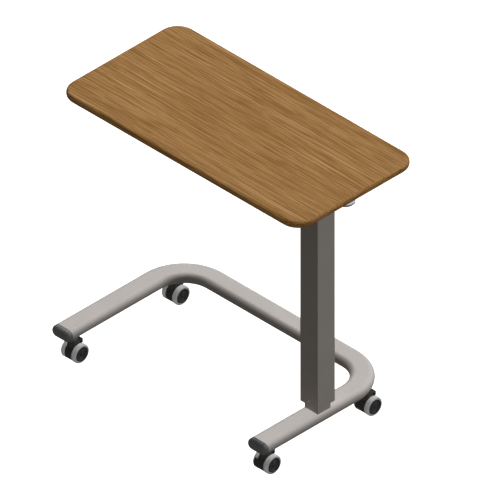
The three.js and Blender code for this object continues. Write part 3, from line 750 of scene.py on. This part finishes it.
# ---- release lever ----
def lever_bracket():
    """Folded plate, open at the top, whose two cheeks carry the lever's pin."""
    low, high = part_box("lever_bracket")
    spot, extent = middle("lever_bracket"), size("lever_bracket")
    pin = middle("lever_pivot_pin")
    half = extent.y / 2
    cheek = 3 * MM
    web = 2 * MM
    corners = [
        (-half, low.z, 2.5 * MM), (half, low.z, 2.5 * MM), (half, high.z, 0), (half - cheek, high.z, 0),
        (half - cheek, low.z + web, MM), (cheek - half, low.z + web, MM), (cheek - half, high.z, 0),
        (-half, high.z, 0),
    ]
    bracket = prism(round_corners(corners), -extent.x / 2, extent.x / 2)
    moved(bracket, (spot.x, spot.y, 0), ALONG_X)
    hole = moved(bar(PIN_RADIUS + GAP, -extent.y, extent.y), pin, ALONG_Y)
    piece("lever_bracket", soften(combine(bracket, "DIFFERENCE", hole), 0.3 * MM))


def lever_pin():
    """Pivot pin with chamfered ends and a groove for its clip."""
    spot, extent = middle("lever_pivot_pin"), size("lever_pivot_pin")
    half = extent.y / 2
    chamfer = 0.5 * MM
    neck = PIN_RADIUS - chamfer
    groove = half - 1.6 * MM
    profile = [
        (0, -half), (neck, -half), (PIN_RADIUS, chamfer - half), (PIN_RADIUS, groove),
        (neck, groove), (neck, half - MM), (PIN_RADIUS, half - MM), (PIN_RADIUS, half - chamfer),
        (neck, half), (0, half),
    ]
    piece("lever_pivot_pin", moved(turned(profile), spot, ALONG_Y))


def release_lever():
    """Cranked arm: a nose over the release pin, a pivot eye and a tail on the paddle."""
    low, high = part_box("release_lever")
    pin = middle("lever_pivot_pin")
    half = size("release_lever").y / 2
    nose_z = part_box("release_pin")[1].z + GAP + 3 * MM
    reach = pin.x - AXIS.x
    tail = low.z
    thick = 3 * MM
    end = high.x - AXIS.x
    bend, crank = 5 * MM, 4 * MM
    corners = [
        (0, nose_z, 0), (reach - 6 * MM, pin.z - 4 * MM, bend),
        (reach + 10 * MM, pin.z - 5 * MM, bend), (reach + 20 * MM, tail, crank),
        (end, tail, 0), (end, tail + thick, 0),
        (reach + 21 * MM, tail + thick, crank), (reach + 12 * MM, pin.z + 3 * MM, bend),
        (reach, pin.z + 5 * MM, bend), (0, nose_z + thick, 0),
    ]
    arm = moved(prism(round_corners(corners), -half, half), (AXIS.x, AXIS.y, 0), ALONG_Y)
    nose = moved(bar(3 * MM, -half, half), (AXIS.x, AXIS.y, nose_z), ALONG_Y)
    eye = moved(bar(PIN_RADIUS + GAP, -2 * half, 2 * half), pin, ALONG_Y)
    lever = combine(combine(arm, "UNION", nose), "DIFFERENCE", eye)
    piece("release_lever", soften(lever, 0.4 * MM))


def lever_paddle():
    """Finger paddle: a round end that tapers back to the arm, with a shallow dish under it."""
    low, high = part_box("lever_paddle")
    spot = middle("lever_paddle")
    radius = size("lever_paddle").y / 2
    tip = high.x - radius
    shoulder = radius - 6 * MM
    corner = 4 * MM
    heel = round_corners([(low.x, shoulder, corner), (low.x, -shoulder, corner), (tip, -radius, 0)])
    outline = arc((tip, 0), radius, -90, 90, 32) + heel[:-1]
    blank = prism([(x, y + spot.y) for x, y in outline], low.z, high.z)
    soften(blank, 1.8 * MM, 5)
    below = -0.6 * MM
    dish = [(0, 1.4 * MM), (6 * MM, 1.2 * MM), (11 * MM, 0.7 * MM), (15 * MM, below), (0, below)]
    hollow = moved(turned(dish), (tip, spot.y, low.z))
    piece("lever_paddle", combine(blank, "DIFFERENCE", hollow))


# ---- castors ----
def castor_hood(stem_back, top):
    """Side outline of the hood between the stem's boss and the brake pedal, from the axle."""
    foot = 6 * MM
    return round_corners([
        (-stem_back, foot, 0), (12 * MM, foot, 0), (12 * MM, 23 * MM, 2 * MM),
        (10.5 * MM, 31 * MM, 1.5 * MM), (2.5 * MM, 33 * MM, 4 * MM), (-stem_back, top, 0),
    ])


def wheel_guard(clear, half_wheel):
    """Curved guard in front of the inner wheel, with the web that joins it to the body."""
    start, end = GUARD_ARC
    skin = arc((0, 0), clear + GUARD_WALL, start, end, GUARD_STEPS)
    shell = skin + arc((0, 0), clear, end, start, GUARD_STEPS)
    web = skin + arc((0, 0), FORK_RADIUS - 3 * MM, end, start, GUARD_STEPS)
    return [prism(shell, 6 * MM - half_wheel, 0), prism(web, -FORK_HALF, FORK_HALF)]


def castor_body_solid(tag, axle, stem, floor, top):
    """Round shroud between the wheels with the hood, the stem's boss and, on the right, the guard."""

    def outline(inset):
        return circle(FORK_RADIUS - inset, WHEEL_ROUND)

    shroud = slab(outline, -FORK_HALF, FORK_HALF, FORK_EDGE, 4)
    hood = prism(castor_hood(axle.y - stem.y, top - axle.z), -FORK_HALF, FORK_HALF)
    soften(hood, 0.8 * MM)
    boss = slab(lambda inset: circle(BOSS_RADIUS - inset), floor - 3 * MM, top - axle.z, FORK_EDGE, 4)
    parts = [moved(hood, axle, ALONG_X), moved(boss, (axle.x, stem.y, axle.z))]
    if tag.startswith("right"):
        low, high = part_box(f"wheel_tyre_{tag}_inner")
        clear = (high.z - low.z) / 2 + 0.5 * MM
        parts += [moved(bm, axle, ALONG_X) for bm in wheel_guard(clear, axle.x - low.x)]
    return combine(moved(shroud, axle, ALONG_X), "UNION", *parts)


def castor_body(tag):
    """Body between a castor's wheels, bored for stem and axle and cut back behind for the pedal."""
    node = f"castor_body_{tag}"
    stem, axle = middle(f"castor_stem_{tag}"), middle(f"castor_axle_{tag}")
    stem_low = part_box(f"castor_stem_{tag}")[0].z
    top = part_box(node)[1].z
    pedal_low, pedal_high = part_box(f"brake_pedal_{tag}")
    hinge_y, hinge_z = pedal_low.y + BARREL_RADIUS, pedal_high.z - BARREL_RADIUS
    skirt_y, skirt_z = pedal_high.y - PEDAL_WALL - 1.5 * MM, pedal_low.z - 1.6 * MM
    wide = FORK_HALF + MM
    behind = axle.y + 28.5 * MM
    tools = [
        moved(bar(STEM_RADIUS + GAP, stem_low - GAP, top + MM), (axle.x, stem.y, 0)),
        moved(bar(AXLE_RADIUS + GAP, -wide, wide), axle, ALONG_X),
        moved(bar(BARREL_RADIUS + GAP, -wide, wide), (axle.x, hinge_y, hinge_z), ALONG_X),
        box_solid((axle.x - wide, hinge_y, hinge_z - 5 * MM), (axle.x + wide, behind, top)),
        box_solid((axle.x - wide, skirt_y, skirt_z), (axle.x + wide, behind, top)),
    ]
    body = castor_body_solid(tag, axle, stem, stem_low - axle.z, top)
    piece(node, combine(body, "DIFFERENCE", *tools))


def castor_stem(tag):
    """Swivel stem with a collar that rests on the castor's body."""
    node = f"castor_stem_{tag}"
    low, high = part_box(node)
    spot = middle(node)
    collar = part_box(f"castor_body_{tag}")[1].z + GAP
    seat = collar + 1.6 * MM
    wide = size(node).x / 2
    chamfer, rim = 0.6 * MM, 0.4 * MM
    profile = [
        (0, low.z), (STEM_RADIUS - chamfer, low.z), (STEM_RADIUS, low.z + chamfer),
        (STEM_RADIUS, collar), (wide - rim, collar), (wide, collar + rim), (wide, seat - rim),
        (wide - rim, seat), (STEM_RADIUS, seat), (STEM_RADIUS, high.z - MM),
        (STEM_RADIUS - MM, high.z), (0, high.z),
    ]
    piece(node, moved(turned(profile), (spot.x, spot.y, 0)))


def castor_axle(tag):
    node = f"castor_axle_{tag}"
    half = size(node).x / 2
    chamfer = 0.5 * MM
    neck = AXLE_RADIUS - chamfer
    profile = [
        (0, -half), (neck, -half), (AXLE_RADIUS, chamfer - half),
        (AXLE_RADIUS, half - chamfer), (neck, half), (0, half),
    ]
    piece(node, moved(turned(profile), middle(node), ALONG_X))


def brake_pedal(tag):
    """Foot tab on a hinge barrel, with a rounded skirt and grip ribs across its top."""
    node = f"brake_pedal_{tag}"
    low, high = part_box(node)
    spot = middle(node)
    hinge_y, hinge_z = low.y + BARREL_RADIUS, high.z - BARREL_RADIUS
    reach = high.y - hinge_y
    drop = low.z - hinge_z
    top = BARREL_RADIUS - 0.6 * MM
    inside = reach - PEDAL_WALL
    under = -2 * MM
    corners = [
        (0, under, 0), (inside, under, 2 * MM), (inside, drop, MM), (reach, drop, MM),
        (reach, top, 2 * MM), (0, top, 0),
    ]
    tab = soften(prism(round_corners(corners), -PEDAL_HALF, PEDAL_HALF), 0.9 * MM, 3)
    barrel = slab(lambda inset: circle(BARREL_RADIUS - inset), -PEDAL_HALF, PEDAL_HALF, 0.4 * MM, 3)
    origin = (0, 0, 0)
    parts = [moved(tab, origin, ALONG_X)]
    half = PEDAL_HALF - 1.5 * MM
    for y in (3.4 * MM, 5.8 * MM, 8.2 * MM):
        rib = slab(lambda inset: circle(0.6 * MM - inset, 24), -half, half, 0.3 * MM, 3)
        parts.append(moved(rib, (0, y, top), ALONG_X))
    pedal = combine(moved(barrel, origin, ALONG_X), "UNION", *parts)
    piece(node, moved(pedal, (spot.x, hinge_y, hinge_z)))


def wheel_tyre(label, facing):
    """Grey tread, more rounded on the side that faces away from the castor's body."""
    node = f"wheel_tyre_{label}"
    spot, extent = middle(node), size(node)
    radius, half = extent.z / 2, extent.x / 2
    seat = 19.95 * MM
    section = round_corners([
        (seat, -half, 0), (radius, -half, 1.2 * MM), (radius, half, 4.2 * MM), (seat, half, 0),
    ])
    turn = Matrix.Rotation(math.radians(90 * facing), 4, "Y")
    piece(node, moved(turned(section, closed=True, steps=WHEEL_ROUND), spot, turn))


def wheel_hub(label, facing):
    """Wheel disc: a raised rim, two shallow rings and a domed centre cap."""
    node = f"wheel_hub_{label}"
    spot, extent = middle(node), size(node)
    rim, half = extent.z / 2, extent.x / 2
    bore = AXLE_RADIUS + GAP
    floor, ring, seat = half - 1.6 * MM, half - MM, half - 3.6 * MM
    cap = [(0, half - 0.2 * MM), (3 * MM, half - 0.35 * MM), (5.2 * MM, half - 0.9 * MM)]
    rings = [
        (5.6 * MM, floor), (8.6 * MM, floor), (9.2 * MM, ring), (10.2 * MM, ring), (10.8 * MM, floor),
        (13.8 * MM, half - 1.3 * MM), (14.4 * MM, half - 0.6 * MM), (15.2 * MM, half - 0.2 * MM),
    ]
    edge = [
        (16.6 * MM, half), (rim - 1.4 * MM, half), (rim - 0.4 * MM, half - 0.5 * MM),
        (rim, half - 1.4 * MM), (rim, -half), (bore, -half), (bore, seat), (0, seat),
    ]
    turn = Matrix.Rotation(math.radians(90 * facing), 4, "Y")
    piece(node, moved(turned(cap + rings + edge, steps=WHEEL_ROUND), spot, turn))


def castor(tag):
    castor_body(tag)
    castor_stem(tag)
    castor_axle(tag)
    brake_pedal(tag)
    for half, facing in (("inner", -1), ("outer", 1)):
        wheel_tyre(f"{tag}_{half}", facing)
        wheel_hub(f"{tag}_{half}", facing)


# ---- the whole table ----
def build_table():
    base_tube()
    for side in ("left", "right"):
        end_cap(side)
        rear_socket(side)
    inner_column()
    square_glide("inner_column_glide", LIP_HEIGHT)
    gas_spring()
    column_sleeve()
    square_glide("sleeve_glide")
    glide_screw()
    head_plate()
    for end in ("front", "rear"):
        support_rail(end)
        for number in (1, 2):
            top_screw(f"top_screw_{end}_{number}")
    cross_brace()
    tabletop()
    lever_bracket()
    lever_pin()
    release_lever()
    lever_paddle()
    for tag in TAGS:
        castor(tag)


# ---- stage ----
BACK = Vector((1, -1, 1)).normalized()          # from the object to the camera: isometric
RIGHT = Vector((1, 1, 0)).normalized()
UP = Vector((-1, 1, 2)).normalized()
AIM_RIGHT = 0.0232                              # the aim point, from the middle of the CAD box
AIM_UP = 0.0146
VIEW_WIDTH = 1.1741
CAMERA_DISTANCE = 5.0

REAR_FROM = Vector((0.292, 0.797, 0.528))       # from behind, a little to the right
REAR_STRENGTH = 2.07
TOP_FROM = Vector((-0.271, 0.430, 0.861))       # from above, a little behind and to the left
TOP_STRENGTH = 2.15
MAIN_SPREAD = 30
FRONT_FROM = Vector((0.57, -0.82, 0.0))         # level, from the front, for single finishes only
EDGE_FILL = 0.6
PLASTIC_FILL = 0.55
RUBBER_FILL = 1.2
FILL_SPREAD = 60
AMBIENT = 0.13
AMBIENT_TINT = (1.0, 0.95, 0.90, 1)
FLOOR_GLOW = 0.82
FLOOR_SIZE = 14.0


def camera():
    """Orthographic camera at the isometric angle."""
    lens = bpy.data.cameras.new("camera")
    lens.type = "ORTHO"
    lens.ortho_scale = VIEW_WIDTH
    lens.clip_end = 100
    eye = bpy.data.objects.new("camera", lens)
    aim = (CAD_LOW + CAD_HIGH) / 2 + RIGHT * AIM_RIGHT + UP * AIM_UP
    eye.location = aim + BACK * CAMERA_DISTANCE
    eye.rotation_mode = "QUATERNION"
    eye.rotation_quaternion = (-BACK).to_track_quat("-Z", "Y")
    bpy.context.scene.collection.objects.link(eye)
    bpy.context.scene.camera = eye


def soft_light(name, source, strength, spread):
    """Broad light from one side that casts no shadows, in W/m2, its spread in degrees."""
    light = bpy.data.lights.new(name, "SUN")
    light.energy = strength
    light.angle = math.radians(spread)
    light.use_shadow = False
    lamp = bpy.data.objects.new(name, light)
    lamp.rotation_mode = "QUATERNION"
    lamp.rotation_quaternion = (-source).to_track_quat("-Z", "Y")
    bpy.context.scene.collection.objects.link(lamp)
    return lamp


def front_fill(name, strength, slots):
    """Light from the front that only the pieces in the given finishes receive."""
    lamp = soft_light(name, FRONT_FROM, strength, FILL_SPREAD)
    receivers = bpy.data.collections.new(f"{name}_receivers")
    for node, slot in NODE_SLOT.items():
        if slot in slots:
            receivers.objects.link(bpy.data.objects[f"{node}_visual"])
    lamp.light_linking.receiver_collection = receivers


def surroundings():
    """White to the camera, and a dim even light for the object."""
    world = bpy.data.worlds.new("surroundings")
    world.use_nodes = True
    tree = world.node_tree
    tree.nodes.clear()
    seen = add(tree, "ShaderNodeBackground", Color=(1, 1, 1, 1), Strength=1.0)
    light = add(tree, "ShaderNodeBackground", Color=AMBIENT_TINT, Strength=AMBIENT)
    path = tree.nodes.new("ShaderNodeLightPath")
    mix = tree.nodes.new("ShaderNodeMixShader")
    tree.links.new(path.outputs["Is Camera Ray"], mix.inputs[0])
    tree.links.new(light.outputs[0], mix.inputs[1])
    tree.links.new(seen.outputs[0], mix.inputs[2])
    output = tree.nodes.new("ShaderNodeOutputWorld")
    tree.links.new(mix.outputs[0], output.inputs["Surface"])
    bpy.context.scene.world = world


def pale_floor():
    """Round floor that glows enough to stay white, and throws no light back on the table."""
    bm = prism(circle(FLOOR_SIZE / 2, 96), -0.02, 0)
    mesh = bpy.data.meshes.new("floor")
    bm.to_mesh(mesh)
    bm.free()
    look = new_look("floor_paint", specular=0.0)
    tree = look.node_tree
    shader = tree.nodes["Principled BSDF"]
    shader.inputs["Emission Color"].default_value = (1, 1, 1, 1)
    shader.inputs["Emission Strength"].default_value = FLOOR_GLOW
    tone = mix_colours(tree, noise(tree, (3, 3, 3)), (0.80, 0.80, 0.79), (0.83, 0.83, 0.82))
    tree.links.new(tone, shader.inputs["Base Color"])
    mesh.materials.append(look)
    floor = bpy.data.objects.new("floor", mesh)
    floor.visible_diffuse = False
    floor.visible_glossy = False
    bpy.context.scene.collection.objects.link(floor)


build_table()
camera()
surroundings()
pale_floor()
soft_light("rear", REAR_FROM, REAR_STRENGTH, MAIN_SPREAD)
soft_light("top", TOP_FROM, TOP_STRENGTH, MAIN_SPREAD)
front_fill("edge_fill", EDGE_FILL, ("oak_top",))
front_fill("plastic_fill", PLASTIC_FILL, ("cap_plastic", "black_plastic"))
front_fill("rubber_fill", RUBBER_FILL, ("tread_rubber",))
bpy.context.scene.view_settings.view_transform = "Standard"
